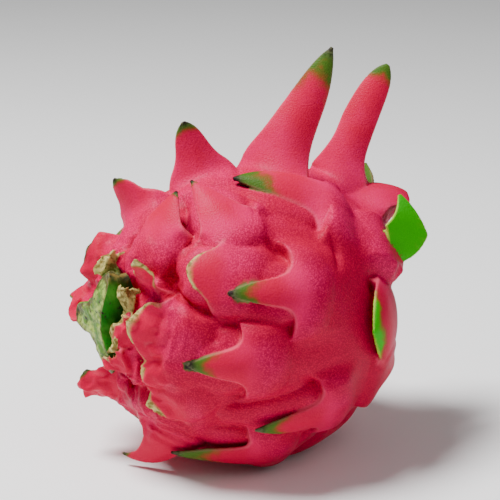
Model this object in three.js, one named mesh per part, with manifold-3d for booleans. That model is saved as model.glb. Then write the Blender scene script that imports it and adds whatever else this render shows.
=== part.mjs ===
// A dragon fruit lying on its side, with the cut piece of stem that it was picked with.
// Millimetres, +Z up. The fruit's axis runs along X: the stem end is at -X, the flower end at +X.
// The origin is the centre of the small flat spot that the fruit rests on.
//
// Places on the skin are two angles in degrees: `along` is 0 at the stem end and 180 at the flower
// end, and `round` is 0 on top, 90 on the -Y side, 180 underneath and 270 on the +Y side.
import * as THREE from "three";
import { mergeVertices } from "three/addons/utils/BufferGeometryUtils.js";
import Module from "manifold-3d";

const wasm = await Module();
wasm.setup();

// ---- Driving sizes ---------------------------------------------------------------------------
const bodyHalfLength = 45;
const bodyRadius = 43.5;
const restHeight = 42.8; // of the body's centre over the surface it lies on
const bodySides = 64; // facets round the fruit's axis
const bodyRings = 34; // facets from the stem end to the flower end
const faceting = 0.06; // facets that lie this close to flat are joined

const stemPit = { depth: 8, radius: 15 };
const flowerPit = { depth: 6, radius: 9 };

const stub = {
  ribRadius: 15.5, // from its middle to the edge of a rib
  hollowRadius: 7,
  sharpness: 2.4, // of the ribs
  turn: 94, // degrees to the first rib
  facets: 36,
  root: -38, // where it starts, along X
  length: 16.5,
  y: -0.5,
  z: 6, // of its middle over the body's
  slantSide: 2, // degrees that the cut is off square, sideways and up
  slantUp: 6,
  gap: 0.4,
};

// A bract is a broad hood that swells out of the skin up to a crest, and a tongue beyond it.
// These are its sizes where its own entry below doesn't say otherwise.
const usualBract = {
  heading: 0, // 0 points at the stem end, 90 towards a larger `round`, 180 at the flower end
  length: 24, // from the crest to the tip
  base: 27, // width of the hood at its crest
  neck: 12, // width of the tongue past the hood
  flare: 3.5, // length in which the hood narrows to the tongue
  back: 16, // length of the swelling behind the crest
  crest: 3.6, // height of the crest over the body
  hook: 5, // how far the crest's ends come forward
  lift: 0, // degrees between the tongue and the skin where it leaves
  bend: 5, // length in which it turns up by `lift`
  curl: -30, // degrees that the tongue bends by its tip, minus is towards the skin
  sweep: 0, // degrees that the tongue bends sideways by its tip
  twist: 0, // degrees that the tongue turns about its own line by its tip
  thick: 3.2, // of the tongue past the hood
  cup: 0.28, // how far the margins bend to the skin, as a share of the half width
  point: 2.2, // 2 is a long point, 8 a blunt end
  ruffle: 0, // height of the waves in a dried margin
  lip: 0.8, // how far its outer side stands proud of the skin at the crest
  pad: 1.6, // height of the plump skin under the tongue
  padReach: 13,
  steep: 6, // reach of the mound's steep side, before the crest
};

const nearBracts = [
  // Flank, tongues lying back towards the stem end
  { along: 86, round: 67, heading: -16, length: 24, base: 28, neck: 10 },
  { along: 61, round: 91, heading: 0, length: 18, base: 21, neck: 9, pad: 2.6 },
  { along: 95, round: 116, heading: 6, length: 24, base: 22, neck: 10 },
  { along: 70, round: 134, heading: 35, length: 24, base: 24, neck: 10, crest: 4.5 },
  {
    along: 57, round: 50, heading: -34, length: 12, base: 25, neck: 8, lift: 18, flare: 7, point: 8,
    lip: 1.6,
  },
  { along: 77, round: 33, heading: -62, length: 23, base: 24, neck: 9, lift: 20, pad: 3 },
  { along: 114, round: 27, heading: -26, length: 32, base: 32, neck: 15, crest: 4.5, curl: -44 },
  { along: 128, round: 115, heading: 160, length: 12, base: 24, neck: 14, point: 5 },
  { along: 116, round: 154, heading: 0, length: 18, base: 22, neck: 10, crest: 2.2, lip: 0.4 },
  // Round the stem end
  { along: 40, round: 115, heading: 48, length: 12, base: 20, neck: 9, flare: 5, point: 8, ruffle: 1 },
  { along: 39, round: 70, heading: -20, length: 15, base: 22, neck: 9, flare: 7, point: 8, ruffle: 1 },
  { along: 22, round: 84, heading: -30, length: 12, base: 14, neck: 9, lift: 30, point: 8, ruffle: 1 },
  { along: 25, round: 40, heading: -146, length: 13, base: 11, neck: 6, lift: 25, curl: 20 },
  { along: 26, round: 6, heading: -130, length: 6, base: 14, neck: 10, lift: 50, curl: 10, point: 8 },
  { along: 29, round: -36, heading: -130, length: 9, base: 18, neck: 14, lift: 60, point: 8 },
  { along: 32, round: -72, heading: -60, length: 12, base: 22, neck: 14, lift: 60, point: 4 },
  { along: 32, round: 205, heading: 62, length: 15, base: 22, neck: 12, lift: 46, point: 4 },
  { along: 42, round: 149, heading: 108, length: 25, base: 24, neck: 8, lift: 32, sweep: -90, flare: 6 },
  // Top, standing off the skin
  { along: 46, round: 12, heading: -150, length: 15, base: 30, neck: 18, lift: 14, curl: -14 },
  { along: 74, round: -4, heading: -105, length: 19, base: 26, neck: 12, lift: 66, curl: 20, point: 4 },
  { along: 47, round: -20, heading: -140, length: 14, base: 20, neck: 9, lift: 60, curl: 10 },
  {
    along: 94, round: 3, heading: -170, length: 47, base: 30, neck: 15, lift: 54, curl: 14, flare: 10,
    twist: 45,
  },
  {
    along: 135, round: -4, heading: 180, length: 48, base: 27, neck: 13, lift: 127, flare: 9, point: 8,
    twist: 45, crest: 6,
  },
  { along: 131, round: 18, heading: -176, length: 22, base: 30, neck: 16, lift: 52, point: 8, crest: 5 },
  { along: 150, round: -30, heading: 180, length: 20, base: 20, neck: 12, lift: 80 },
  { along: 139, round: 43, heading: -176, length: 17, base: 26, neck: 24, lift: 50, curl: 10, point: 1.3 },
  { along: 124, round: 93, heading: 180, length: 4, base: 26, neck: 16, lift: 30, curl: 0 },
];

// The far side carries the same bracts in rows round the fruit, each a little off its place.
const farRows = [
  { along: 62, from: 200, to: 316, count: 4, length: 19 },
  { along: 90, from: 198, to: 322, count: 4, length: 22 },
  { along: 117, from: 204, to: 314, count: 3, length: 24 },
  { along: 143, from: 185, to: 290, count: 3, length: 20 },
];
const farSeed = 7;

// Rings of a bract's solid, as shares of the swelling behind its crest and of its length ahead.
const ringsBehind = [-1, -0.5];
const ringsAhead = [0, 0.08, 0.2, 0.42, 0.72, 0.97];
// Points of a ring across its outer side, and back along its under side.
const outerPoints = [-1, -0.6, 0, 0.6, 1];
const underPoints = [1, 0, -1];

// ---- Vectors ---------------------------------------------------------------------------------
const degrees = Math.PI / 180;
const vec = (x, y, z) => new THREE.Vector3(x, y, z);
const bodyCentre = vec(0, 0, restHeight);

// A point of the smooth body, from its unit direction.
function bodyPoint(direction) {
  return vec(bodyHalfLength, bodyRadius, bodyRadius).multiply(direction).add(bodyCentre);
}

function bodyNormal(direction) {
  return direction.clone().divide(vec(bodyHalfLength, bodyRadius, bodyRadius)).normalize();
}

function directionAt(along, round) {
  const a = along * degrees;
  const r = round * degrees;
  return vec(-Math.cos(a), -Math.sin(a) * Math.sin(r), Math.sin(a) * Math.cos(r));
}

function smooth(from, to, x) {
  return THREE.MathUtils.smoothstep(x, from, to);
}

// ---- Skin ------------------------------------------------------------------------------------
// Where a bract grows: its place, and the directions ahead (to its tip), across and out.
function standing(bract) {
  const direction = directionAt(bract.along, bract.round);
  const out = bodyNormal(direction);
  const stemward = vec(-1, 0, 0).addScaledVector(out, out.x).normalize();
  const ahead = stemward.applyAxisAngle(out, bract.heading * degrees);
  return { place: bodyPoint(direction), out, ahead, across: out.clone().cross(ahead) };
}

// Numbers from 0 to 1, in the same order every time.
function drawsFrom(seed) {
  let state = seed;
  return () => {
    state = (state * 16807) % 2147483647;
    return state / 2147483647;
  };
}

function farBracts() {
  const draw = drawsFrom(farSeed);
  const spread = (size) => (draw() - 0.5) * size;
  return farRows.flatMap((row) => Array.from({ length: row.count }, (_, i) => ({
    along: row.along + spread(8),
    round: row.from + ((row.to - row.from) * i) / (row.count - 1) + spread(8),
    heading: spread(40),
    length: row.length + spread(5),
    base: 24 + spread(6),
    neck: 10 + spread(2),
    lift: 4 + spread(8),
  })));
}

const bracts = [...nearBracts, ...farBracts()].map((sizes) => {
  const bract = { ...usualBract, ...sizes };
  return { ...bract, stand: standing(bract) };
});

// How a bract shapes the skin at a point of the smooth body: its mound, the plump skin under its
// tongue, and how much it flattens the mounds of others there.
function shaping(bract, point) {
  const { place, out, ahead, across } = bract.stand;
  const offset = point.clone().sub(place);
  if (offset.dot(out) < -bodyRadius / 2) return { mound: 0, pad: 0, flat: 0 };
  const x = offset.dot(ahead);
  const y = offset.dot(across);
  const side = Math.abs(y) / (bract.base / 2);
  const behind = x - bract.hook * side ** 2 + 4;
  const reach = behind < 0 ? bract.back * 0.7 : bract.steep;
  const mound = bract.crest * Math.exp(-((behind / reach) ** 2) - (side / 1.15) ** 3);
  const pad = bract.pad * smooth(0, 3, x) * Math.exp(-((x / bract.padReach) ** 4) - (side / 0.95) ** 4);
  const lying = Math.max(0, Math.cos(bract.lift * degrees)) ** 2 * smooth(0, 4, x);
  const beside = (y / (bract.neck / 2 + 3)) ** 4;
  return { mound, pad, flat: lying * Math.exp(-((x / bract.length / 1.05) ** 6) - beside) };
}

// A pit round the fruit's axis, as a depth below the smooth body.
function pitDepth(pit, point, end) {
  if (Math.sign(point.x) !== end) return 0;
  const fromAxis = Math.hypot(point.y, point.z - restHeight);
  return pit.depth * Math.exp(-((fromAxis / pit.radius) ** 3));
}

// Height of the skin over the smooth body.
function skinHeight(point) {
  const shapings = bracts.map((bract) => shaping(bract, point));
  const mounds = shapings.reduce((sum, { mound }) => sum + mound ** 4, 0) ** 0.25;
  const flat = Math.max(...shapings.map((shape) => shape.flat));
  const pad = Math.max(...shapings.map((shape) => shape.pad));
  const grown = ((mounds * (1 - 0.75 * flat)) ** 4 + pad ** 4) ** 0.25;
  return grown - pitDepth(stemPit, point, -1) - pitDepth(flowerPit, point, 1);
}

// ---- Bracts ----------------------------------------------------------------------------------
// Directions of a bract's centre line at a distance s past its crest.
function directionsAt(bract, s) {
  const { out, ahead, across } = bract.stand;
  const t = s / bract.length;
  const risen = bract.lift * smooth(-bract.bend / 2, bract.bend, s);
  const fallen = s < 0 ? (-s / bract.back) * 52 : bract.curl * t;
  const pitch = (risen + fallen) * degrees;
  const yaw = s < 0 ? 0 : bract.sweep * t * t * degrees;
  const flat = ahead.clone().multiplyScalar(Math.cos(yaw)).addScaledVector(across, Math.sin(yaw));
  const on = flat.clone().multiplyScalar(Math.cos(pitch)).addScaledVector(out, Math.sin(pitch));
  const turn = s < 0 ? 0 : bract.twist * smooth(0, 0.35, t) * degrees;
  const side = out.clone().cross(flat).applyAxisAngle(on, turn);
  return { on, side, face: on.clone().cross(side) };
}

// Points along the centre line at the given distances, which rise from a negative one.
function centreLine(bract, distances) {
  const { place, out } = bract.stand;
  const crest = place.clone().addScaledVector(out, skinHeight(place) + bract.lip);
  const walk = (from, to) => {
    const steps = 12;
    const step = (to - from) / steps;
    const gone = vec(0, 0, 0);
    for (let i = 0; i < steps; i++) {
      gone.addScaledVector(directionsAt(bract, from + (i + 0.5) * step).on, step);
    }
    return gone;
  };
  return distances.map((s) => ({ s, at: crest.clone().add(walk(0, s)), ...directionsAt(bract, s) }));
}

function halfWidth(bract, s) {
  if (s < 0) return (bract.base / 2) * (1 - 0.3 * (s / bract.back) ** 2);
  const tongue = (bract.neck / 2) * (1 - (s / bract.length) ** bract.point) ** 0.8;
  const flare = ((bract.base - bract.neck) / 2) * Math.exp(-((s / bract.flare) ** 1.5));
  return Math.max(0.6, tongue + flare);
}

// Depth of the under side below the outer side, at the middle and at the margin.
function depths(bract, s) {
  const deep = bract.crest + 3.5;
  const t = Math.max(0, s / bract.length);
  const middle = 0.9 + (bract.thick - 0.9) * (1 - t);
  const margin = 0.8;
  const freed = smooth(0, bract.flare * 1.6, s);
  return [deep + (middle - deep) * freed, deep + (margin - deep) * freed];
}

function bractSolid(bract) {
  const distances = [
    ...ringsBehind.map((share) => share * bract.back),
    ...ringsAhead.map((share) => share * bract.length),
  ];
  const rings = centreLine(bract, distances).map(({ s, at, on, side, face }) => {
    const w = halfWidth(bract, s);
    const [middle, margin] = depths(bract, s);
    const t = Math.max(0, s / bract.length);
    const pointAt = (v, depth) => {
      const forward = bract.hook * Math.abs((v * w) / (bract.base / 2)) ** 2.5;
      const wave = bract.ruffle * t * Math.sin(9 * t + 4 * v) * Math.abs(v);
      const rise = wave - bract.cup * w * v * v - depth;
      return at.clone().addScaledVector(on, forward).addScaledVector(side, v * w)
        .addScaledVector(face, rise);
    };
    return [
      ...outerPoints.map((v) => pointAt(v, 0)),
      ...underPoints.map((v) => pointAt(v, v === 0 ? middle : margin)),
    ];
  });
  return tubeSolid(rings);
}

// ---- Solids ----------------------------------------------------------------------------------
// A closed tube through rings of equal numbers of points, flat at both ends.
function tubeSolid(rings) {
  const sides = rings[0].length;
  const triangles = [];
  for (let i = 0; i + 1 < rings.length; i++) {
    for (let j = 0; j < sides; j++) {
      const a = i * sides + j;
      const b = i * sides + ((j + 1) % sides);
      triangles.push(a, b + sides, b, a, a + sides, b + sides);
    }
  }
  const last = (rings.length - 1) * sides;
  for (let j = 1; j + 1 < sides; j++) {
    triangles.push(0, j, j + 1, last, last + j + 1, last + j);
  }
  return solidOf(rings.flat().flatMap((point) => point.toArray()), triangles);
}

function solidOf(positions, triangles) {
  const mesh = new wasm.Mesh({
    numProp: 3,
    vertProperties: Float32Array.from(positions),
    triVerts: Uint32Array.from(triangles),
  });
  return new wasm.Manifold(mesh);
}

function solidOfGeometry(geometry) {
  geometry.deleteAttribute("normal");
  geometry.deleteAttribute("uv");
  const merged = mergeVertices(geometry);
  return solidOf(merged.attributes.position.array, merged.index.array);
}

function geometryOf(solid) {
  const { vertProperties, triVerts } = solid.getMesh();
  const geometry = new THREE.BufferGeometry();
  geometry.setAttribute("position", new THREE.BufferAttribute(vertProperties, 3));
  geometry.setIndex(new THREE.BufferAttribute(triVerts, 1));
  geometry.computeVertexNormals();
  return geometry;
}

function bodySolid() {
  const sphere = new THREE.SphereGeometry(1, bodySides, bodyRings);
  sphere.deleteAttribute("normal");
  sphere.deleteAttribute("uv");
  const geometry = mergeVertices(sphere);
  const position = geometry.attributes.position;
  for (let i = 0; i < position.count; i++) {
    const direction = vec(-position.getY(i), position.getX(i), position.getZ(i));
    const point = bodyPoint(direction);
    point.addScaledVector(bodyNormal(direction), skinHeight(point));
    position.setXYZ(i, point.x, point.y, point.z);
  }
  return solidOf(position.array, geometry.index.array);
}

// Everything below the surface that the fruit lies on.
function groundSolid() {
  return solidOfGeometry(new THREE.BoxGeometry(300, 300, 60).translate(0, 0, -30));
}

// The piece of stem has three ribs with hollow sides between them, and is cut off aslant.
// `grown` makes it that much larger all round, for the hole it sits in.
function stubSolid(grown) {
  const corners = Array.from({ length: stub.facets }, (_, i) => {
    const angle = (i / stub.facets) * 2 * Math.PI;
    const rib = ((1 + Math.cos(3 * (angle - stub.turn * degrees))) / 2) ** stub.sharpness;
    const radius = stub.hollowRadius + (stub.ribRadius - stub.hollowRadius) * rib + grown;
    return new THREE.Vector2(radius * Math.cos(angle), radius * Math.sin(angle));
  });
  const depth = stub.length + grown;
  const prism = new THREE.ExtrudeGeometry(new THREE.Shape(corners), { depth, bevelEnabled: false });
  prism.rotateY(-Math.PI / 2);
  prism.translate(stub.root + grown, stub.y, restHeight + stub.z);
  const slant = new THREE.BoxGeometry(60, 90, 90).translate(-30, 0, 0);
  slant.rotateZ(stub.slantSide * degrees).rotateY(stub.slantUp * degrees);
  slant.translate(stub.root - stub.length * 0.8, stub.y, restHeight + stub.z);
  return grown > 0 ? solidOfGeometry(prism) : solidOfGeometry(prism).subtract(solidOfGeometry(slant));
}

function fruitSolid() {
  const grown = bracts.reduce((fruit, bract) => fruit.add(bractSolid(bract)), bodySolid());
  return grown.subtract(groundSolid()).subtract(stubSolid(stub.gap)).simplify(faceting);
}

// ---- Assembly --------------------------------------------------------------------------------
function node(name, solid, colour, roughness) {
  const material = new THREE.MeshStandardMaterial({ color: colour, roughness, metalness: 0 });
  const mesh = new THREE.Mesh(geometryOf(solid), material);
  mesh.name = name;
  return mesh;
}

const dragonFruit = new THREE.Group();
dragonFruit.add(node("fruit", fruitSolid(), 0xe01f52, 0.45));
dragonFruit.add(node("stem_stub", stubSolid(0), 0x6f9a3c, 0.6));

export default dragonFruit;
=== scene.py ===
"""A dragon fruit lying on its side: its fine rind, scales and cut stem over the CAD frame.

Shapes are worked out in millimetres in the CAD frame and scaled to metres when a mesh is made.
Places on the skin are two angles in degrees: `along` is 0 at the stem end and 180 at the flower
end, and `round` is 0 on top, 90 on the -Y side, 180 underneath and 270 on the +Y side.
"""

import math

import bmesh
import bpy
import numpy as np
from mathutils import Matrix, Vector, kdtree


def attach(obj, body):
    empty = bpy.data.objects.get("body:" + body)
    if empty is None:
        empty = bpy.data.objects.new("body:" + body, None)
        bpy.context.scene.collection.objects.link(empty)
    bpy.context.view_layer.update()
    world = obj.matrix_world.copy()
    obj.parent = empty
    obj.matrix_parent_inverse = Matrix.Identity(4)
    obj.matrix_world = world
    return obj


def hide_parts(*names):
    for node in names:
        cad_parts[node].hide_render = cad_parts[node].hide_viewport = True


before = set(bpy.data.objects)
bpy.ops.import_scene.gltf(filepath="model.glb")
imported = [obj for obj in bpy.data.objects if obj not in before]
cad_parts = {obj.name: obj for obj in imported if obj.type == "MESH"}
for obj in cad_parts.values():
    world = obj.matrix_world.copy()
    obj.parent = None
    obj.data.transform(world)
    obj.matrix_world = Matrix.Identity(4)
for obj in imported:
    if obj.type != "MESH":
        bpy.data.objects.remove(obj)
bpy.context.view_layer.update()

MM = 0.001

# ---- Driving sizes, as in the part --------------------------------------------------------------
BODY_HALF_LENGTH = 45.0
BODY_RADIUS = 43.5
REST_HEIGHT = 42.8  # of the body's middle over the floor
STEM_PIT = {"depth": 8, "radius": 15}
FLOWER_PIT = {"depth": 6, "radius": 9}

# A bract is a broad hood that swells out of the skin up to a crest, and a tongue beyond it.
USUAL_BRACT = {
    "heading": 0,  # 0 points at the stem end, 90 towards a larger `round`, 180 at the flower end
    "length": 24,  # from the crest to the tip
    "base": 27,  # width of the hood at its crest
    "neck": 12,  # width of the tongue past the hood
    "flare": 3.5,  # length in which the hood narrows to the tongue
    "back": 16,  # length of the swelling behind the crest
    "crest": 3.6,  # height of the crest over the body
    "hook": 5,  # how far the crest's ends come forward
    "lift": 0,  # degrees between the tongue and the skin where it leaves
    "bend": 5,  # length in which it turns up by `lift`
    "curl": -25,  # degrees that the tongue bends by its tip, minus is towards the skin
    "sweep": 0,  # degrees that the tongue bends sideways by its tip
    "twist": 0,  # degrees that the tongue turns about its own line
    "twist_from": 0,  # where that turn starts, from the crest
    "thick": 3.2,  # of the tongue past the hood
    "cup": 0.28,  # how far the margins bend to the skin, as a share of the half width
    "point": 2.2,  # 2 is a long point, 8 a blunt end
    "taper": 0.8,  # how it closes at the tip, 0.5 is round
    "kite": 0.0,  # where a kite-shaped one is widest, as a share of the length, or 0
    "ruffle": 0,  # height of the waves in a dried margin
    "torn": 0,  # 1 where the tip is torn and dried, over 1 where all of it is dry
    "lip": 0.8,  # how far its outer side stands proud of the skin at the crest
    "pad": 2.4,  # height of the plump skin round the tongue
    "pad_width": 5,  # how far the plump skin reaches past the tongue's margins
    "steep": 2.6,  # length in which the skin falls from the crest to the pocket under it
    "pocket": 1.8,  # depth of the two pockets under the hood's ends
    "folded": 0,  # height of the folds across its base
    "hem": 0,  # 1 where its margins are dried too
    "bright": 0,  # 1 where its green is fresh, 0 where it is olive
    "green": 0.45,  # share of the tongue that is green, over 1 where all of it is
    "dark": 0.12,  # share of the tongue that is dried dark
}

RED = dict(green=0, dark=0)  # with neither a green tip nor a dark one
DRY = dict(RED, crest=0.5, torn=1.6, pad=0, pocket=0)
COLLAR_BIT = dict(DRY, thick=1.2, point=6, back=5, ruffle=1.2)
FLOWER_REST = dict(DRY, thick=1.2, point=6, back=4, ruffle=1)

NEAR_BRACTS = [
    # Flank, tongues lying back towards the stem end
    dict(along=88, round=65, heading=-8, length=25, base=29, neck=10, lip=1.2),
    dict(along=67, round=90, heading=4, length=22, base=23, neck=10, pad=3.2, pad_width=6,
         lip=1.8),
    dict(along=100, round=115, heading=6, length=28, base=23, neck=10),
    dict(along=78, round=137, heading=22, length=30, base=26, neck=11, crest=5, green=0.6),
    dict(along=64, round=55, heading=-26, length=16, base=24, neck=9, lift=15, flare=8, point=8,
         lip=1.8, pad=4, torn=0.6, hem=0.4, **RED),
    dict(along=69, round=35, heading=-76, length=24, base=20, neck=16, lift=10, point=1.2,
         back=10, lip=0.5, thick=2, pad=3.4, pad_width=6, green=0.14, dark=0.06),
    dict(along=114, round=22, heading=-26, length=32, base=34, neck=19, crest=5, hook=0,
         curl=-44, cup=0.6, lip=1.1, thick=2.8, pad=1, pocket=1, green=0.5, dark=0.06),
    dict(along=128, round=115, heading=160, length=13, base=24, neck=13, curl=-12, cup=0.1,
         crest=2.4, lip=1, point=2.5, green=0.3, dark=0),
    dict(along=116, round=154, length=18, base=22, neck=10, crest=2.2, lip=0.4),
    # Round the stem end
    dict(along=40, round=115, heading=48, length=12, base=20, neck=13, flare=5, point=8,
         ruffle=1, torn=1, pad=3.4, **RED),
    dict(along=37, round=78, heading=-24, length=14, base=20, neck=13, lift=16, flare=7,
         point=6, ruffle=1.4, lip=1.8, torn=0.8, hem=0.5, folded=0.25, **RED),
    dict(along=35, round=98, heading=-6, length=9.5, base=17, neck=12, lift=16, flare=5,
         point=6, ruffle=1, lip=1.2, torn=0.7, pad=2, **RED),
    dict(along=22, round=84, heading=-30, length=12, base=14, neck=9, lift=30, point=8,
         ruffle=1.6, torn=0.9, hem=0.5, folded=0.5, **RED),
    dict(along=23, round=39, heading=-174, length=22, base=10, neck=8, lift=38, curl=14,
         point=2.5, back=6, crest=1, torn=0.8, hem=0.9, twist=40, thick=1.6, green=0.3, dark=0),
    dict(along=23, round=-14, heading=180, length=4, base=6.4, neck=6.2, lift=56, curl=110,
         point=8, back=4, thick=1.6, ruffle=0.5, **DRY),
    dict(along=29, round=-36, heading=-130, length=9, base=18, neck=14, lift=60, point=8,
         green=0.15),
    dict(along=33, round=-68, heading=-75, length=10, base=26, neck=22, lift=64, point=4,
         green=0.1, dark=0),
    dict(along=30, round=194, heading=36, length=15, base=23, neck=22, lift=32, point=1.8,
         twist=50, green=0.1, dark=0.03, folded=0.2),
    dict(along=40, round=146, heading=112, length=26, base=26, neck=18, lift=28, sweep=-90,
         flare=5, point=0.9, green=0.12, dark=0.04, folded=0.4, thick=2.2),
    dict(along=20, round=122, heading=-16, length=9, base=12, neck=10, lift=44, point=6, back=8,
         ruffle=1.6, folded=0.8, torn=0.4, hem=0.3, **RED),
    # Dried bits of the collar round the stub
    dict(along=17, round=42, heading=-130, length=7, base=6, neck=4.4, lift=62, **COLLAR_BIT),
    dict(along=16, round=108, heading=-24, length=7, base=7, neck=6, lift=60, **COLLAR_BIT),
    # Top, standing off the skin
    dict(along=42, round=14, heading=-164, length=16, base=21, neck=19, lift=14, curl=-14,
         point=1.3, back=18, green=0.12, dark=0.05),
    dict(along=74, round=-4, heading=-105, length=19, base=25, neck=10, lift=66, curl=20,
         flare=6, hook=1, point=5, green=0.25, dark=0.06),
    dict(along=47, round=-17, heading=-144, length=14, base=20, neck=10, lift=60, curl=10,
         point=4, green=0.2, dark=0.05),
    dict(along=94, round=3, heading=-170, length=46, base=30, neck=14.6, lift=53, curl=13,
         flare=8.5, hook=0, point=3, twist=45, twist_from=-6, green=0.34, dark=0.05),
    dict(along=126, round=-4, heading=180, length=43, base=24, neck=11, lift=98, curl=-8,
         flare=7, hook=0, point=5, taper=0.6, twist=55, twist_from=-14, crest=6, green=0.16,
         dark=0),
    # At the flower end: a fat lobe, the swelling under it, the olive one behind and two fresh ones
    dict(along=131, round=12, heading=-176, length=23, base=20, neck=17, lift=74, curl=-64,
         point=4, taper=0.5, crest=5, thick=26, green=0.04, dark=0),
    dict(along=137, round=42, heading=170, length=12, base=24, neck=15, curl=-8, cup=0.1,
         point=2.5, crest=7.5, lip=1, **RED),
    dict(along=144, round=-22, heading=180, length=21, base=20, neck=18, lift=124, point=2.5,
         green=0.9, dark=0),
    dict(along=141, round=56, heading=-90, length=24, base=4, neck=17.5, kite=0.53, flare=7,
         lift=58, bend=2, curl=-70, back=6, twist=-38, twist_from=-10, cup=0, crest=1, lip=2,
         hook=0, pad=0, thick=2, green=3, dark=0, bright=1),
    dict(along=132, round=84, heading=4, length=16, base=27, neck=27, lift=8, curl=-30, crest=2,
         green=0.5, dark=0, bright=1, hook=0, lip=2, pad=0),
    # Dried rests of the flower, at the far end
    dict(along=169, round=10, heading=160, length=7, base=7, neck=5, lift=74, **FLOWER_REST),
    dict(along=168, round=95, heading=190, length=6, base=8, neck=6, lift=60, **FLOWER_REST),
    dict(along=169, round=185, heading=170, length=8, base=7, neck=5, lift=66, **FLOWER_REST),
    dict(along=167, round=280, heading=200, length=6, base=8, neck=5, lift=80, **FLOWER_REST),
]

# The far side carries plain bracts in rows round the fruit, each a little off its place.
FAR_ROWS = [
    dict(along=62, first=200, last=316, count=4, length=19),
    dict(along=90, first=198, last=322, count=4, length=22),
    dict(along=117, first=204, last=314, count=3, length=24),
    dict(along=143, first=185, last=290, count=3, length=20),
]
FAR_SEED = 7

# The stub of stem that the fruit was picked with: three ribs with hollow sides between them.
STUB = {
    "rib_radius": 18,  # from its middle to the edge of a rib
    "hollow_radius": 7.5,  # to the bottom of the hollow between two ribs
    "flat": 0.72,  # how far it is squashed along Y, as a share
    "sharpness": 2.4,  # of the ribs
    "turn": 94,  # degrees to the first rib
    "root": -38.5,  # where it starts, along X
    "length": 14.8,
    "y": 0.3,  # its middle
    "z": 48.6,
    "slant_side": 2,  # degrees that the cut is off square
    "dome": 3.5,  # how far back the cut is at the edge of a rib
    "waist": 0.08,  # how much thinner it is half way, as a share
}

# Creases between the swellings, each along a line of places (along, round). A ridge has a depth
# under 0.
FOLDS = [
    # Round the swellings of the flank
    dict(line=[(46, 74), (42, 77), (40, 82), (42, 88)], depth=2.2, width=1.3),
    dict(line=[(46, 29), (41, 39), (39, 50), (42, 62), (46, 74), (54, 82)], depth=3.4, width=1.8),
    dict(line=[(63, 0), (58, 10), (54, 22), (49, 31)], depth=3.4, width=2.0),
    dict(line=[(54, 31), (60, 38), (68, 42), (75, 43)], depth=1.4, width=1.0),
    dict(line=[(78, 39), (80, 45), (82, 49)], depth=1.2, width=1.0),
    dict(line=[(50, 53), (54, 62), (58, 72)], depth=1.2, width=1.0),
    dict(line=[(102, 36), (105, 42), (106, 50), (103, 60)], depth=1.4, width=1.2),
    # Running into the stem end
    dict(line=[(42, 30), (38, 40), (35, 52), (34, 60)], depth=2.2, width=4),
    dict(line=[(40, 30), (36, 40), (32, 52)], depth=1.6, width=0.9),
    dict(line=[(42, 30), (38, 42), (36, 54), (36, 64)], depth=1.6, width=0.8),
    dict(line=[(25, 49), (29, 47), (36, 51)], depth=-1.6, width=1.4),
    dict(line=[(34, 56), (38, 70), (39, 84)], depth=1.1, width=0.8),
    dict(line=[(30, 58), (33, 70), (33, 82)], depth=1.1, width=0.8),
    dict(line=[(21, 100), (25, 114), (28, 130)], depth=3.0, width=1.6),
    dict(line=[(19, 30), (15, 55), (13, 90), (14, 120), (19, 145)], depth=-6.5, width=3.4),
    dict(line=[(33, 90), (40, 94), (41, 102), (34, 117)], depth=1.5, width=1.0),
    dict(line=[(30, 150), (36, 155), (43, 157)], depth=1.6, width=0.9),
]

# Crumpled folds that run into the stem end, as noise on a ring that is stretched along the fruit
WRINKLES = {
    "height": 2.0,
    "size": 3.2,
    "warp": 5,  # how far they wander
    "warp_size": 11,
    "ring_radius": 15,
    "stretch": 0.16,
    "rise": (6, 14),  # `along` over which they begin
    "fall": (30, 56),  # and end
}
# Uneven growth, as (how far points are moved, size of the features, first seed)
UNEVEN = (0.7, 13, 10)
CRUMPLES = [(1.7, 6, 20), (1.1, 2.8, 30), (0.45, 1.5, 40)]  # only near the stem end
CRUMPLED = (22, 40)  # distances from the stem end over which they die away
HIGHLIGHT_HEIGHTS = (0, 4.5)  # heights over the smooth body between which the skin is painted paler, a painted highlight on swellings
FLATTENED = 0.75  # share by which a tongue flattens the mounds under it
MARK_BLUR = 0.15  # keeps the nearest source point from outweighing the others

# ---- Fineness ------------------------------------------------------------------------------------
SKIN_ROUND = 480  # points round the skin
SKIN_ALONG = 300  # rings of them from end to end
VOXEL = 0.36  # of the remesh that joins the skin and the bracts
SMOOTHING = 0.5
SMOOTHING_ROUNDS = 2
RIND_TRIANGLES = 190_000


# ---- Skin ----------------------------------------------------------------------------------------
HALF_SIZES = np.array([BODY_HALF_LENGTH, BODY_RADIUS, BODY_RADIUS])
BODY_CENTRE = np.array([0, 0, REST_HEIGHT])


def unit(vectors):
    return vectors / np.linalg.norm(vectors, axis=-1, keepdims=True)


def smooth(start, end, x):
    """0 at `start` and before it, 1 at `end` and past it, and an S curve between them."""
    t = np.clip((x - start) / (end - start), 0, 1)
    return t * t * (3 - 2 * t)


def turned(vector, axis, degrees):
    """The vector turned about a unit axis, by the right-hand rule."""
    a = math.radians(degrees)
    along_axis = axis * (axis @ vector) * (1 - math.cos(a))
    return vector * math.cos(a) + np.cross(axis, vector) * math.sin(a) + along_axis


def direction_at(along, round_):
    """Unit direction, or an array of them, from the body's centre."""
    a, r = np.radians(along), np.radians(round_)
    return np.stack([-np.cos(a), -np.sin(a) * np.sin(r), np.sin(a) * np.cos(r)], -1)


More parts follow.
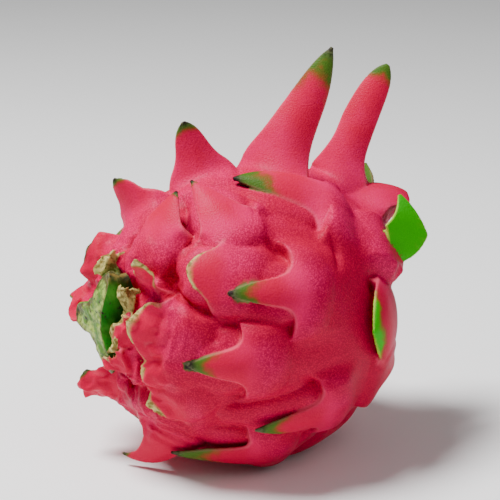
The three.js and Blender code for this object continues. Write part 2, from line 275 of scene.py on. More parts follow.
class Bract:
    """One scale: where it stands on the body, how it shapes the skin, and its own solid."""

    HOOD_EDGE = (0.7, 1.25)  # where the hood sinks into the skin, in half widths of its base
    HOOK_POWER = 2.5  # how suddenly the crest's ends come forward
    BACK_DIP = 70  # degrees that the hood dips into the body at its back
    HOOD_SUNK = 2.7  # how far the under side of the hood lies below the body
    TIP_THICK = 0.9
    MARGIN_THICK = 0.8
    TIP_HALF_WIDTH = 0.6
    POCKET_AHEAD = 2.5  # from the crest to the middle of each pocket
    POCKET_ASIDE = 0.4  # from the middle line to it, as a share of the base
    POCKET_RADIUS = 3

    def __init__(self, **sizes):
        self.__dict__.update(USUAL_BRACT)
        self.__dict__.update(sizes)
        direction = direction_at(self.along, self.round)
        self.place = direction * HALF_SIZES + BODY_CENTRE
        self.out = unit(direction / HALF_SIZES)
        stemward = np.array([-1.0, 0, 0])
        stemward = unit(stemward - self.out * (self.out @ stemward))
        self.ahead = turned(stemward, self.out, self.heading)
        self.across = np.cross(self.out, self.ahead)

    def tongue_half_width(self, s):
        closing = np.clip(1 - np.clip(s / self.length, 0, 1) ** self.point, 0, 1)
        return self.neck / 2 * closing ** self.taper

    def shaping(self, points):
        """Its mound, the plump skin round its tongue, and how much it flattens others' mounds."""
        offset = points - self.place
        x = offset @ self.ahead
        y = np.abs(offset @ self.across)
        side = y / (self.base / 2)
        past = x - self.hook * np.minimum(side, 1.3) ** self.HOOK_POWER
        behind = np.exp(-((np.minimum(past, 0) / (self.back * 0.7)) ** 2))
        beyond = 1 - smooth(0, self.steep, past)
        mound = self.crest * behind * beyond * (1 - smooth(*self.HOOD_EDGE, side))
        beyond_tip = np.hypot(x - self.length, y)
        outside = np.where(x < self.length, y - self.tongue_half_width(x), beyond_tip)
        plump = np.sqrt(1 - np.clip(outside / self.pad_width, 0, 1) ** 2)
        pad = self.pad * plump * smooth(0, 5, x)
        lying = max(0.0, math.cos(math.radians(self.lift))) ** 2 * smooth(0, 4, x)
        beside = (y / (self.neck / 2 + 3)) ** 4
        flat = lying * np.exp(-((x / self.length / 1.05) ** 6) - beside)
        from_pocket = np.hypot(past - self.POCKET_AHEAD, y - self.base * self.POCKET_ASIDE)
        pocket = self.pocket * np.exp(-((from_pocket / self.POCKET_RADIUS) ** 2))
        return mound, pad, flat, pocket

    def directions(self, s):
        """Unit vectors on, to the side of and out from the centre line at each s past the crest."""
        s = s[:, None]
        t = np.maximum(s / self.length, 0)
        fallen = np.where(s < 0, -s / self.back * self.BACK_DIP, self.curl * t)
        pitch = np.radians(self.lift * smooth(-self.bend / 2, self.bend, s) + fallen)
        yaw = np.radians(self.sweep * t * t)
        flat = self.ahead * np.cos(yaw) + self.across * np.sin(yaw)
        on = flat * np.cos(pitch) + self.out * np.sin(pitch)
        level = np.cross(self.out, flat)
        turn = np.radians(self.twist * smooth(self.twist_from, 0.35 * self.length, s))
        side = level * np.cos(turn) + np.cross(on, level) * np.sin(turn)
        return on, side, np.cross(on, side)

    def centre_line(self, s, step=0.2):
        """Points of the centre line, which leaves its place just over the skin at s = 0."""
        crest_point = self.place + self.out * (skin_height(self.place[None])[0] + self.lip)
        walked = np.arange(-self.back, self.length + step, step)
        moves = self.directions(walked + step / 2)[0] * step
        path = np.cumsum(moves, axis=0) - moves
        line = np.stack([np.interp(s, walked, path[:, k]) for k in range(3)], 1)
        start = [np.interp(0, walked, path[:, k]) for k in range(3)]
        return crest_point + line - start

    def half_width(self, s):
        behind = self.base / 2 * (1 - 0.3 * (s / self.back) ** 2)
        if self.kite:
            corners = [0, self.kite * self.length, self.length]
            return np.interp(s, corners, [self.base / 2, self.neck / 2, self.TIP_HALF_WIDTH])
        flare = (self.base - self.neck) / 2 * np.exp(-((np.maximum(s, 0) / self.flare) ** 1.5))
        ahead = np.maximum(self.TIP_HALF_WIDTH, self.tongue_half_width(s) + flare)
        return np.where(s < 0, behind, ahead)

    def depths(self, s):
        """Depth of the under side below the outer side, at the middle and at the margin."""
        deep = self.crest + self.lip + self.HOOD_SUNK
        thinning = 1 - np.maximum(0, s / self.length)
        middle = self.TIP_THICK + (self.thick - self.TIP_THICK) * thinning
        freed = smooth(0, self.flare * 1.6, s)
        return deep + (middle - deep) * freed, deep + (self.MARGIN_THICK - deep) * freed

    def solid(self, rings_behind=10, rings_ahead=60, columns=28):
        """Vertices, faces, and per vertex: s past the crest, place across, and 1 if underneath."""
        behind = -self.back * (1 - np.arange(rings_behind) / rings_behind)
        ahead = self.length * np.linspace(0, 1, rings_ahead) ** 1.25
        s = np.concatenate([behind, ahead])
        shares = np.sin(np.linspace(-0.5, 0.5, columns) * math.pi)
        v = np.concatenate([shares, shares[::-1]])[None]
        under = np.repeat([0.0, 1.0], columns)[None]
        on, side, face = (d[:, None] for d in self.directions(s))
        at = self.centre_line(s)[:, None]
        w = self.half_width(s)[:, None]
        middle, margin = (d[:, None] for d in self.depths(s))
        t = np.maximum(0, s / self.length)[:, None]
        aside = np.abs(v * w) / (self.base / 2)
        forward = self.hook * aside ** self.HOOK_POWER
        wave = self.ruffle * t * np.sin(9 * t + 4 * v) * np.abs(v)
        phase = 1.7 * s[:, None] + 2 * v * v + 1.5 * np.sin(2.3 * v + self.round)
        across_folds = self.folded * np.sin(phase) * smooth(9, 2, np.abs(s - 1))[:, None]
        sunk = self.crest * smooth(*self.HOOD_EDGE, aside) * smooth(self.flare, 0, s)[:, None]
        deep = middle * (1 - v * v) + margin * v * v
        rise = wave + across_folds * (1 - under) - self.cup * w * v * v - sunk - under * deep
        points = at + on * forward[..., None] + side * (v * w)[..., None] + face * rise[..., None]
        marks = (np.broadcast_to(x, rise.shape).ravel() for x in (s[:, None], v, under))
        return points.reshape(-1, 3), tube_faces(*rise.shape), *marks


def tube_faces(rings, sides):
    """Triangles of a closed tube through rings of equal numbers of points, flat at both ends."""
    i = np.arange(rings - 1)[:, None] * sides
    j = np.arange(sides)[None]
    k = (j + 1) % sides
    a, b, c, d = ((i + x).ravel() for x in (j, k, sides + k, sides + j))
    fan = np.arange(1, sides - 1)
    last = (rings - 1) * sides
    first_cap = np.stack([np.zeros_like(fan), fan, fan + 1], 1)
    last_cap = np.stack([np.full_like(fan, last), last + fan + 1, last + fan], 1)
    return np.concatenate([np.stack([a, d, c], 1), np.stack([a, c, b], 1), first_cap, last_cap])


def far_bracts():
    factor, modulus = 16807, 2147483647  # of the random draws, as in the part
    state = FAR_SEED

    def spread(size):
        nonlocal state
        state = state * factor % modulus
        return (state / modulus - 0.5) * size

    bracts = []
    for row in FAR_ROWS:
        for i in range(row["count"]):
            between = (row["last"] - row["first"]) * i / (row["count"] - 1)
            bracts.append(Bract(
                along=row["along"] + spread(8),
                round=row["first"] + between + spread(8),
                heading=spread(40),
                length=row["length"] + spread(5),
                base=24 + spread(6),
                neck=10 + spread(2),
                lift=4 + spread(8),
            ))
    return bracts


BRACTS = [Bract(**sizes) for sizes in NEAR_BRACTS] + far_bracts()


def curve_through(points, spacing=0.6):
    """Points along a smooth curve through these, and each one's share of the whole."""
    padded = np.concatenate([2 * points[:1] - points[1:2], points, 2 * points[-1:] - points[-2:-1]])
    curve = []
    for a, b, c, d in zip(padded, padded[1:], padded[2:], padded[3:]):
        t = np.arange(0, 1, spacing / np.linalg.norm(c - b))[:, None]
        curve.append(0.5 * (2 * b + (c - a) * t + (2 * a - 5 * b + 4 * c - d) * t**2
                            + (3 * b - a - 3 * c + d) * t**3))
    curve = np.concatenate(curve)
    return curve, np.arange(len(curve)) / len(curve)


def fold_depth(points):
    """How far the folds sink the skin, at points of the smooth body."""
    total = np.zeros(len(points))
    for fold in FOLDS:
        ends = [direction_at(*place) * HALF_SIZES + BODY_CENTRE for place in fold["line"]]
        curve, shares = curve_through(np.array(ends))
        low, high = curve.min(0) - 4 * fold["width"], curve.max(0) + 4 * fold["width"]
        near = np.all((points > low) & (points < high), axis=1)
        gaps = np.linalg.norm(points[near][:, None] - curve[None], axis=2)
        nearest = gaps.argmin(1)
        fade = np.minimum(1, 4 * shares[nearest] * (1 - shares[nearest]) * 1.5)
        total[near] += fold["depth"] * fade * np.exp(-((gaps.min(1) / fold["width"]) ** 1.5))
    return total


def noise(points, size, seed=0):
    """Smooth random numbers from -1 to 1, with features of about this size, the same every time."""
    far_off = 1000  # keeps every cell's numbers above 0
    scaled = points / size + far_off
    cell = np.floor(scaled).astype(np.int64)
    t = scaled - cell
    t = t * t * (3 - 2 * t)
    total = np.zeros(len(points))
    for corner in range(8):
        step = np.array([corner & 1, corner >> 1 & 1, corner >> 2 & 1])
        i, j, k = (cell + step).T
        # A hash of the cell and the seed, with the usual large primes
        mixed = (i * 73856093) ^ (j * 19349663) ^ (k * 83492791) ^ (seed * 2654435761)
        mixed = (mixed ^ (mixed >> 13)) * 1274126177 & 0xFFFFFFFF
        value = (mixed ^ (mixed >> 16)) % 65536 / 32768 - 1
        total += value * np.prod(np.where(step, t, 1 - t), axis=1)
    return total


def wrinkles(points):
    """Height of the crumpled folds that run into the stem end."""
    offset = (points - BODY_CENTRE) / HALF_SIZES
    from_axis = np.hypot(offset[:, 1], offset[:, 2])
    along = np.degrees(np.arctan2(from_axis, -offset[:, 0]))
    wander = [noise(points, WRINKLES["warp_size"], k) for k in range(3)]
    warped = points + WRINKLES["warp"] * np.stack(wander, 1)
    angle = np.arctan2(warped[:, 1], warped[:, 2] - REST_HEIGHT)
    radius = WRINKLES["ring_radius"]
    depth = along * WRINKLES["stretch"]
    ring = np.stack([np.cos(angle) * radius, np.sin(angle) * radius, depth], 1)
    ridged = 1 - 2 * np.abs(noise(ring, WRINKLES["size"], 5))
    strength = smooth(*WRINKLES["rise"], along) * (1 - smooth(*WRINKLES["fall"], along))
    return WRINKLES["height"] * strength * ridged


def grown_unevenly(points):
    """The points moved a little to and fro, most round the crumpled stem end."""
    from_stem = np.linalg.norm(points - BODY_CENTRE + [BODY_HALF_LENGTH, 0, 0], axis=1)
    crumpled = 1 - smooth(*CRUMPLED, from_stem)

    def wave(layer, k):
        height, size, seed = layer
        return height * noise(points, size, seed + k)

    moved = points.copy()
    for k in range(3):
        moved[:, k] += wave(UNEVEN, k)
        moved[:, k] += crumpled * sum(wave(layer, k) for layer in CRUMPLES)
    return moved


def pit_depth(pit, points, end):
    """Depth of a pit, at the flower end where `end` is 1 and at the stem end where it is -1."""
    from_axis = np.hypot(points[:, 1], points[:, 2] - REST_HEIGHT)
    at_end = np.where(points[:, 0] * end > 0, pit["depth"], 0)
    return at_end * np.exp(-((from_axis / pit["radius"]) ** 3))


def skin_height(points):
    """Height of the skin over the smooth body, at points of the smooth body."""
    mounds = np.zeros(len(points))
    pads, flats, pockets = mounds.copy(), mounds.copy(), mounds.copy()
    for bract in BRACTS:
        reach = bract.base + bract.length + bract.back
        near = np.linalg.norm(points - bract.place, axis=1) < reach
        mound, pad, flat, pocket = bract.shaping(points[near])
        mounds[near] += mound**4
        pads[near] = np.maximum(pads[near], pad)
        flats[near] = np.maximum(flats[near], flat)
        pockets[near] = np.maximum(pockets[near], pocket)
    mounds = mounds**0.25 * (1 - FLATTENED * flats)
    grown = (mounds**4 + pads**4) ** 0.25 - pockets - fold_depth(points) + wrinkles(points)
    at_flower = pit_depth(FLOWER_PIT, points, 1)
    grown *= 1 - at_flower / FLOWER_PIT["depth"]
    return grown - pit_depth(STEM_PIT, points, -1) - at_flower


def skin_solid():
    """Points and faces of the closed skin, and each point's height over the smooth body."""
    along = np.linspace(0, 180, SKIN_ALONG)
    round_ = np.linspace(0, 360, SKIN_ROUND, endpoint=False)
    directions = direction_at(*np.meshgrid(along, round_, indexing="ij")).reshape(-1, 3)
    points = directions * HALF_SIZES + BODY_CENTRE
    heights = skin_height(points)
    points += unit(directions / HALF_SIZES) * heights[:, None]
    return points, tube_faces(SKIN_ALONG, SKIN_ROUND), heights


# ---- Meshes --------------------------------------------------------------------------------------
def mesh_object(name, points_mm, faces):
    mesh = bpy.data.meshes.new(name)
    mesh.vertices.add(len(points_mm))
    mesh.vertices.foreach_set("co", (points_mm * MM).astype(np.float32).ravel())
    mesh.loops.add(len(faces) * 3)
    mesh.loops.foreach_set("vertex_index", faces.astype(np.int32).ravel())
    mesh.polygons.add(len(faces))
    mesh.polygons.foreach_set("loop_start", np.arange(len(faces), dtype=np.int32) * 3)
    mesh.update(calc_edges=True)
    mesh.validate()
    thing = bpy.data.objects.new(name, mesh)
    bpy.context.scene.collection.objects.link(thing)
    return thing


def apply_modifier(thing, kind, **settings):
    modifier = thing.modifiers.new(kind.lower(), kind)
    for name, value in settings.items():
        setattr(modifier, name, value)
    bpy.context.view_layer.objects.active = thing
    bpy.ops.object.modifier_apply(modifier=modifier.name)


def points_of(mesh):
    points = np.empty(len(mesh.vertices) * 3, np.float32)
    mesh.vertices.foreach_get("co", points)
    return points.reshape(-1, 3).astype(float) / MM


def set_points(mesh, points_mm):
    mesh.vertices.foreach_set("co", (points_mm * MM).astype(np.float32).ravel())
    mesh.update()


def add_marks(mesh, marks):
    """Keeps each mark as an attribute of the points, for the material to read."""
    for name, values in marks.items():
        attribute = mesh.attributes.new(name, "FLOAT", "POINT")
        attribute.data.foreach_set("value", values.astype(np.float32))


def smoothed(points, edges, amount, rounds):
    """Points moved towards the middle of their neighbours, by an amount from 0 to 1."""
    a, b = edges.T
    count = len(points)
    neighbours = np.bincount(a, minlength=count) + np.bincount(b, minlength=count)
    for _ in range(rounds):
        total = np.empty_like(points)
        for k in range(3):
            total[:, k] = np.bincount(a, points[b, k], count) + np.bincount(b, points[a, k], count)
        points = points + (total / neighbours[:, None] - points) * amount
    return points


def edges_of(mesh):
    edges = np.empty(len(mesh.edges) * 2, np.int32)
    mesh.edges.foreach_get("vertices", edges)
    return edges.reshape(-1, 2)


def remove_crumbs(mesh):
    """Keeps only the largest joined part, without the bits that break off thin torn margins."""
    a, b = edges_of(mesh).T
    part = np.arange(len(mesh.vertices))
    while np.any(part[a] != part[b]):
        lowest = np.minimum(part[a], part[b])
        np.minimum.at(part, a, lowest)
        np.minimum.at(part, b, lowest)
        part = part[part]
    is_crumb = part != np.bincount(part).argmax()
    work = bmesh.new()
    work.from_mesh(mesh)
    crumbs = [vertex for vertex, crumb in zip(work.verts, is_crumb) if crumb]
    bmesh.ops.delete(work, geom=crumbs, context="VERTS")
    work.to_mesh(mesh)
    work.free()


# ---- Rind ----------------------------------------------------------------------------------------
class RindSources:
    """The skin's and the bracts' own points, which say what each place on the finished rind is."""

    def __init__(self):
        skin_points, skin_faces, skin_heights = skin_solid()
        self.points = [skin_points]
        self.faces = [skin_faces]
        keys = ("tongue", "green", "dark", "rim", "under", "dry", "bright")
        skin_marks = dict.fromkeys(keys, np.zeros(len(skin_points)))
        # Painted highlight: paler where the skin stands raised over the smooth body
        skin_marks["raised_highlight"] = smooth(*HIGHLIGHT_HEIGHTS, skin_heights)
        skin_marks["dry"] = 1.4 * pit_depth(FLOWER_PIT, skin_points, 1) / FLOWER_PIT["depth"]
        self.marks = [skin_marks]
        for bract in BRACTS:
            self.add(bract)
        starts = np.cumsum([0] + [len(p) for p in self.points[:-1]])
        self.all_faces = np.concatenate([f + start for f, start in zip(self.faces, starts)])
        self.all_points = grown_unevenly(np.concatenate(self.points))
        self.values = {key: np.concatenate([m[key] for m in self.marks]) for key in self.marks[0]}

    def add(self, bract):
        """Adds a bract's points. `t` is 0 at its crest and 1 at its tip, `v` 0 along its middle."""
        points, faces, s, v, under = bract.solid()
        t = s / bract.length
        green = (t + 0.3 * bract.green * v * v - 1) / max(bract.green, 0.01) + 1
        torn_tip = bract.torn * smooth(0.7, 0.98, t + 0.12 * v * v) + (bract.torn > 1)
        dry_hem = bract.hem * smooth(0.8, 0.97, np.abs(v)) * smooth(0.1, 0.4, t)
        hood = bract.crest * np.exp(-np.minimum(s / bract.back, 0) ** 2 * 2)
        self.points.append(points)
        self.faces.append(faces)
        self.marks.append(dict(
            tongue=smooth(-2, bract.flare, s),
            green=np.clip(green, 0, 1) * (bract.green > 0) * smooth(-1.5, 0.5, s),
            dark=smooth(1 - bract.dark - 0.06, 1 - bract.dark * 0.3, t) if bract.dark else 0 * t,
            rim=smooth(0.94, 1.0, np.abs(v)) * smooth(0, 3, s),
            under=under * smooth(0, 2, s),
            dry=np.clip(torn_tip + dry_hem, 0, 1),
            bright=np.full(len(t), float(bract.bright)),
            # painted highlight on the hood
            raised_highlight=(1 - smooth(0, 0.6, t)) * (1 - under) * smooth(*HIGHLIGHT_HEIGHTS, hood),
        ))

    def at(self, points, nearest=5):
        """Each mark's value at other points, from the nearest of these."""
        tree = kdtree.KDTree(len(self.all_points))
        for i, point in enumerate(self.all_points):
            tree.insert(point, i)
        tree.balance()
        found = np.empty((len(points), nearest), int)
        distance = np.empty((len(points), nearest))
        for row, point in enumerate(points):
            for k, (_, i, d) in enumerate(tree.find_n(point, nearest)):
                found[row, k] = i
                distance[row, k] = d
        weight = 1 / (distance + MARK_BLUR) ** 2
        weight /= weight.sum(1, keepdims=True)
        return {key: (value[found] * weight).sum(1) for key, value in self.values.items()}


def make_rind():
    sources = RindSources()
    rind = mesh_object("rind", sources.all_points, sources.all_faces)
    apply_modifier(rind, "REMESH", mode="VOXEL", voxel_size=VOXEL * MM, use_smooth_shade=True)
    points = points_of(rind.data)
    points = smoothed(points, edges_of(rind.data), SMOOTHING, SMOOTHING_ROUNDS)
    points[:, 2] = np.maximum(points[:, 2], 0)
    set_points(rind.data, points)
    apply_modifier(rind, "TRIANGULATE")
    ratio = min(1.0, RIND_TRIANGLES / len(rind.data.polygons))
    apply_modifier(rind, "DECIMATE", ratio=ratio)
    remove_crumbs(rind.data)
    marks = sources.at(points_of(rind.data))
    rind.data.shade_smooth()
    add_marks(rind.data, marks)
    return rind


# ---- Stem stub -----------------------------------------------------------------------------------
def stub_outline(angles):
    """Distance from the stub's middle to its skin, and how far each place is up a rib."""
    rib = ((1 + np.cos(3 * (angles - math.radians(STUB["turn"])))) / 2) ** STUB["sharpness"]
    return STUB["hollow_radius"] + (STUB["rib_radius"] - STUB["hollow_radius"]) * rib, rib


def make_stub(sides=180, rings=36, face_rings=30):
    """Rings along its sides, then smaller and smaller ones over the cut face."""
    last_ring = 0.02  # the smallest, as a share
    worn_sizes, worn_depths = [0.985, 0.95], [0.25, 0.6]  # of the two rings at the worn edge
    angles = np.arange(sides) / sides * 2 * math.pi
    radius, rib = stub_outline(angles)
    along = np.concatenate([np.linspace(0, 1, rings), np.ones(face_rings)])
    shrink = np.concatenate([np.ones(rings), np.linspace(1, last_ring, face_rings)])
    bevel = np.concatenate([np.zeros(rings - 2), worn_depths, np.full(face_rings, worn_depths[1])])
    shrink[rings - 2:rings] = worn_sizes
    shrink[rings:] *= worn_sizes[1]
    up = np.outer(shrink, radius * np.cos(angles))
    aside = np.outer(shrink, radius * np.sin(angles)) * STUB["flat"]
    waist = 1 - STUB["waist"] * np.sin(along * math.pi)[:, None]
    up, aside = up * waist, aside * waist
    slant = aside * math.tan(math.radians(STUB["slant_side"]))
    slant -= STUB["dome"] * (up / STUB["rib_radius"]) ** 2
    x = STUB["root"] - STUB["length"] * along[:, None] + bevel[:, None] - along[:, None] * slant
    points = np.stack([x, STUB["y"] + aside, STUB["z"] + up], -1).reshape(-1, 3)
    cut = np.repeat(smooth(rings - 2.5, rings - 0.5, np.arange(rings + face_rings)), sides)
    edge = np.tile(smooth(0.75, 1.0, rib), rings + face_rings) * np.repeat(shrink > 0.9, sides)
    bump = 0.5 * noise(points, 4, 40) + 0.25 * noise(points, 1.6, 41)
    middle = np.array([0, STUB["y"], STUB["z"]])
    outward = unit((points - middle) * [0, 1, 1] + 1e-6)
    points = points + outward * (bump * (1 - cut) * 0.8)[:, None]
    points[:, 0] -= cut * (0.7 * noise(points, 3, 42) + 0.3 * noise(points, 1.1, 43))
    stub = mesh_object("stub", points, tube_faces(rings + face_rings, sides)[:, ::-1])
    stub.data.shade_smooth()
    face_edge = cut * np.repeat(shrink, sides)
    # out_of_pit is 0 at the root and 1 at the cut, for the painted shade in the pit
    marks = dict(cut=cut, edge=edge, face_edge=face_edge, out_of_pit=np.repeat(along, sides))
    add_marks(stub.data, marks)
    return stub


# ---- Materials -----------------------------------------------------------------------------------
class Nodes:
    """A node material, with short calls for the nodes that it uses."""

    def __init__(self, name):
        self.material = bpy.data.materials.new(name)
        self.material.use_nodes = True
        self.tree = self.material.node_tree
        self.shader = self.tree.nodes["Principled BSDF"]
        self.place = self.add("ShaderNodeTexCoord").outputs["Object"]

    def add(self, kind, **settings):
        node = self.tree.nodes.new(kind)
        for name, value in settings.items():
            setattr(node, name, value)
        return node

    def feed(self, socket, value):
        if isinstance(value, bpy.types.NodeSocket):
            self.tree.links.new(value, socket)
        elif isinstance(value, tuple) and len(value) == 3:
            socket.default_value = (*value, 1)
        else:
            socket.default_value = value

    def mark(self, name):
        return self.add("ShaderNodeAttribute", attribute_name=name).outputs["Fac"]

    def mix(self, share, a, b):
        node = self.add("ShaderNodeMix", data_type="RGBA")
        self.feed(node.inputs["Factor"], share)
        self.feed(node.inputs["A"], a)
        self.feed(node.inputs["B"], b)
        return node.outputs["Result"]

    def math(self, operation, a, b=0.0):
        node = self.add("ShaderNodeMath", operation=operation)
        self.feed(node.inputs[0], a)
        self.feed(node.inputs[1], b)
        return node.outputs[0]

    def range(self, value, low, high, to_low=0.0, to_high=1.0):
        node = self.add("ShaderNodeMapRange", interpolation_type="SMOOTHSTEP")
        for socket, v in zip(("Value", "From Min", "From Max", "To Min", "To Max"),
                             (value, low, high, to_low, to_high)):
            self.feed(node.inputs[socket], v)
        return node.outputs["Result"]

    def noise(self, size_mm, detail=2.0, roughness=0.5):
        node = self.add("ShaderNodeTexNoise")
        self.feed(node.inputs["Vector"], self.place)
        node.inputs["Scale"].default_value = 1 / (size_mm * MM)
        node.inputs["Detail"].default_value = detail
        node.inputs["Roughness"].default_value = roughness
        return node.outputs["Fac"]

    def cells(self, size_mm):
        node = self.add("ShaderNodeTexVoronoi", feature="SMOOTH_F1")
        self.feed(node.inputs["Vector"], self.place)
        node.inputs["Scale"].default_value = 1 / (size_mm * MM)
        node.inputs["Smoothness"].default_value = 0.6
        return node.outputs["Distance"]

    def bump(self, height, distance_mm, strength=1.0):
        node = self.add("ShaderNodeBump")
        node.inputs["Distance"].default_value = distance_mm * MM
        node.inputs["Strength"].default_value = strength
        self.feed(node.inputs["Height"], height)
        self.feed(self.shader.inputs["Normal"], node.outputs["Normal"])


def srgb(red, green, blue):
    """Linear colour from the 0 to 255 values of a screen colour."""
    def linear(value):
        share = value / 255
        return share / 12.92 if share <= 0.04045 else ((share + 0.055) / 1.055) ** 2.4
    return linear(red), linear(green), linear(blue)


def rind_material():
    """Crimson hollows, a painted highlight that makes swellings and upper skin pink, fine pebbling,
    and green, dark and dried tips.
    """
    base_crimson, painted_highlight_pink = (0.58, 0.0, 0.046), (0.78, 0.003, 0.12)  # linear colours
    dot, under_side = (0.24, 0.0, 0.024), (0.58, 0.0, 0.06)
    low, high = 0.03, 0.085  # metres over the floor between which the skin is painted paler, a painted highlight as if lit from above
    n = Nodes("rind")
    broad = n.range(n.noise(14, 2), 0.3, 0.7, -0.25, 0.25)
    grain = n.math("ADD", n.cells(0.5), n.range(n.noise(0.45, 1), 0.3, 0.7, -0.15, 0.15))
    height = n.add("ShaderNodeSeparateXYZ")
    n.feed(height.inputs["Vector"], n.place)
    # Paleness: broad random tone, plus a painted highlight on raised skin and higher up
    tone_and_highlight = n.math("ADD", n.math("MULTIPLY", n.mark("raised_highlight"), 0.6), broad)
    tone_and_highlight = n.math("ADD", tone_and_highlight, n.range(height.outputs["Z"], low, high, 0.0, 0.4))
    skin = n.mix(n.range(tone_and_highlight, 0.2, 1.15), base_crimson, painted_highlight_pink)
    smoother = n.math("SUBTRACT", 1.0, n.math("MULTIPLY", n.mark("tongue"), 0.75))
    dots = n.math("MULTIPLY", n.range(grain, 0.05, 0.7, 0.0, 0.6), smoother)
    skin = n.mix(dots, skin, dot)
    skin = n.mix(n.mark("under"), skin, under_side)
    green = n.mark("green")
    green = n.math("ADD", green, n.range(n.noise(4, 3), 0.3, 0.7, -0.12, 0.12))
    colour = n.mix(n.range(green, 0.1, 0.55), skin, srgb(140, 66, 36))
    leaf = n.mix(n.mark("bright"), srgb(66, 98, 30), srgb(44, 172, 10))
    bright_rim = n.math("MULTIPLY", n.mark("bright"), n.mark("rim"))
    leaf = n.mix(bright_rim, leaf, srgb(170, 200, 40))
    colour = n.mix(n.range(green, 0.3, 0.7), colour, leaf)
    # Pale pink margins: partly a paler margin of their own, partly a painted highlight along the
    # lit edges
    colour = n.mix(n.math("MULTIPLY", n.mark("rim"), 0.15), colour, srgb(245, 150, 160))
    spots = n.range(n.noise(1.6, 3), 0.42, 0.62)
    colour = n.mix(n.mark("dark"), colour, n.mix(spots, srgb(36, 26, 26), srgb(84, 84, 60)))
    dried = n.mix(spots, srgb(190, 178, 108), srgb(120, 104, 52))
    dryness = n.math("ADD", n.mark("dry"), n.math("MULTIPLY", spots, 0.15))
    colour = n.mix(n.range(dryness, 0.3, 0.8), colour, dried)
    n.feed(n.shader.inputs["Base Color"], colour)
    n.shader.inputs["Roughness"].default_value = 0.42
    n.shader.inputs["Specular IOR Level"].default_value = 0.06
    n.shader.inputs["Subsurface Weight"].default_value = 0.08
    n.shader.inputs["Subsurface Radius"].default_value = (1.0, 0.25, 0.2)
    n.shader.inputs["Subsurface Scale"].default_value = 2 * MM
    n.bump(grain, 0.08)
    return n.material


def stem_material():
    n = Nodes("stem")
    mottle = n.noise(3, 4, 0.65)
    green = n.mix(n.range(n.noise(6, 3), 0.4, 0.65), srgb(18, 120, 10), srgb(60, 140, 30))
    # Painted shade: the green darkens towards the stub's root, down in the stem pit
    green = n.mix(n.range(n.mark("out_of_pit"), 0.75, 0.35), green, srgb(20, 56, 14))
    pith = n.mix(n.range(mottle, 0.35, 0.6), srgb(160, 178, 80), srgb(78, 118, 34))
    worn = n.math("ADD", n.mark("face_edge"), n.range(mottle, 0.3, 0.7, -0.15, 0.15))
    pith = n.mix(n.range(worn, 0.65, 0.95), pith, srgb(84, 76, 34))
    colour = n.mix(n.mark("cut"), green, pith)
    horn = n.mix(n.range(n.noise(1.8, 3), 0.4, 0.6), srgb(120, 96, 48), srgb(58, 50, 30))
    colour = n.mix(n.math("MULTIPLY", n.mark("edge"), 0.85), colour, horn)
    colour = n.mix(n.range(n.noise(1.3, 2, 0.3), 0.66, 0.72), colour, srgb(40, 36, 22))
    n.feed(n.shader.inputs["Base Color"], colour)
    n.shader.inputs["Roughness"].default_value = 0.5
    n.shader.inputs["Specular IOR Level"].default_value = 0.3
    n.bump(n.noise(1.0, 3), 0.2)
    return n.material


def floor_material():
    n = Nodes("floor")
    white = n.mix(n.noise(300, 1), srgb(250, 250, 250), srgb(252, 252, 252))
    n.feed(n.shader.inputs["Base Color"], white)
    n.shader.inputs["Roughness"].default_value = 0.9
    n.shader.inputs["Specular IOR Level"].default_value = 0.0
    return n.material


# ---- Set -----------------------------------------------------------------------------------------
CAMERA = {
    "azimuth": -28,
    "elevation": 16,
    "distance": 650,
    "wide": 157,  # width of what it shows at that distance
    "up": 45.2,  # height of the point on the Z axis that it is set by
    "shift": (2, 57),  # from there to the picture's middle, in pixels to the right and up
    "sensor": 36,
    "clip_end": 10,  # metres
}
PICTURE_PIXELS = 500
FLOOR_SIZE = 6000
WORLD_LIGHT = 0.15
# Places are to the right, up and back from the fruit, as the camera sees it.
LIGHTS = {
    "key": {"place": (-340, 780, 240), "size": 360, "power": 16},
    "fill": {"place": (460, 420, 560), "size": 600, "power": 1.2},
}


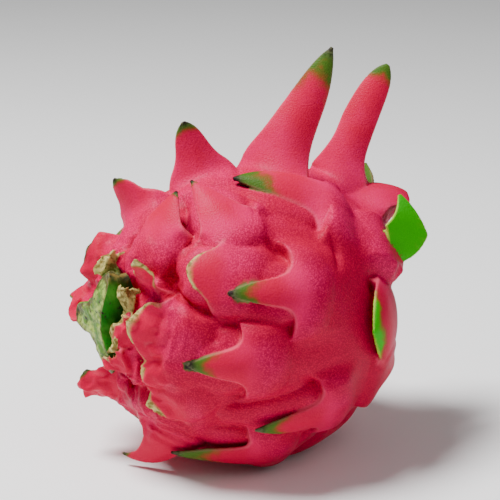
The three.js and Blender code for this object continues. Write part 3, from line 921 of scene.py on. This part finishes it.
def camera_axes():
    """Unit vectors to its right, up and back from what it looks at."""
    a, e = math.radians(CAMERA["azimuth"]), math.radians(CAMERA["elevation"])
    back = Vector((math.sin(a) * math.cos(e), -math.cos(a) * math.cos(e), math.sin(e)))
    right = Vector((math.cos(a), math.sin(a), 0))
    return right, back.cross(right), back


def add_camera():
    right, up, back = camera_axes()
    pixel = CAMERA["wide"] / PICTURE_PIXELS
    aside, above = CAMERA["shift"]
    target = Vector((0, 0, CAMERA["up"])) + (right * aside + up * above) * pixel
    data = bpy.data.cameras.new("camera")
    data.sensor_width = CAMERA["sensor"]
    data.lens = data.sensor_width * CAMERA["distance"] / CAMERA["wide"]
    data.clip_end = CAMERA["clip_end"]
    camera = bpy.data.objects.new("camera", data)
    bpy.context.scene.collection.objects.link(camera)
    turn = Matrix((right, up, back)).transposed().to_4x4()
    camera.matrix_world = Matrix.Translation((target + back * CAMERA["distance"]) * MM) @ turn
    bpy.context.scene.camera = camera


def add_area_light(name, place, size, power):
    data = bpy.data.lights.new(name, "AREA")
    data.shape = "DISK"
    data.size = size * MM
    data.energy = power
    light = bpy.data.objects.new(name, data)
    bpy.context.scene.collection.objects.link(light)
    axes = camera_axes()
    light.location = sum((axis * far for axis, far in zip(axes, place)), Vector()) * MM
    to_fruit = Vector((0, 0, REST_HEIGHT * MM)) - light.location
    light.rotation_euler = to_fruit.to_track_quat("-Z", "Y").to_euler()


def add_set():
    corners = np.array([[-1, -1, 0], [1, -1, 0], [1, 1, 0], [-1, 1, 0]]) * FLOOR_SIZE / 2
    floor = mesh_object("floor", corners, np.array([[0, 1, 2], [0, 2, 3]]))
    floor.data.materials.append(floor_material())
    for name, light in LIGHTS.items():
        add_area_light(name, **light)
    world = bpy.data.worlds.new("world")
    bpy.context.scene.world = world
    world.use_nodes = True
    background = world.node_tree.nodes["Background"]
    background.inputs["Color"].default_value = (1, 1, 1, 1)
    background.inputs["Strength"].default_value = WORLD_LIGHT


# ---- Build ---------------------------------------------------------------------------------------
rind = make_rind()
rind.data.materials.append(rind_material())
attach(rind, "root")
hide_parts("fruit")
stub = make_stub()
stub.data.materials.append(stem_material())
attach(stub, "root")
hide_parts("stem_stub")

add_set()
add_camera()
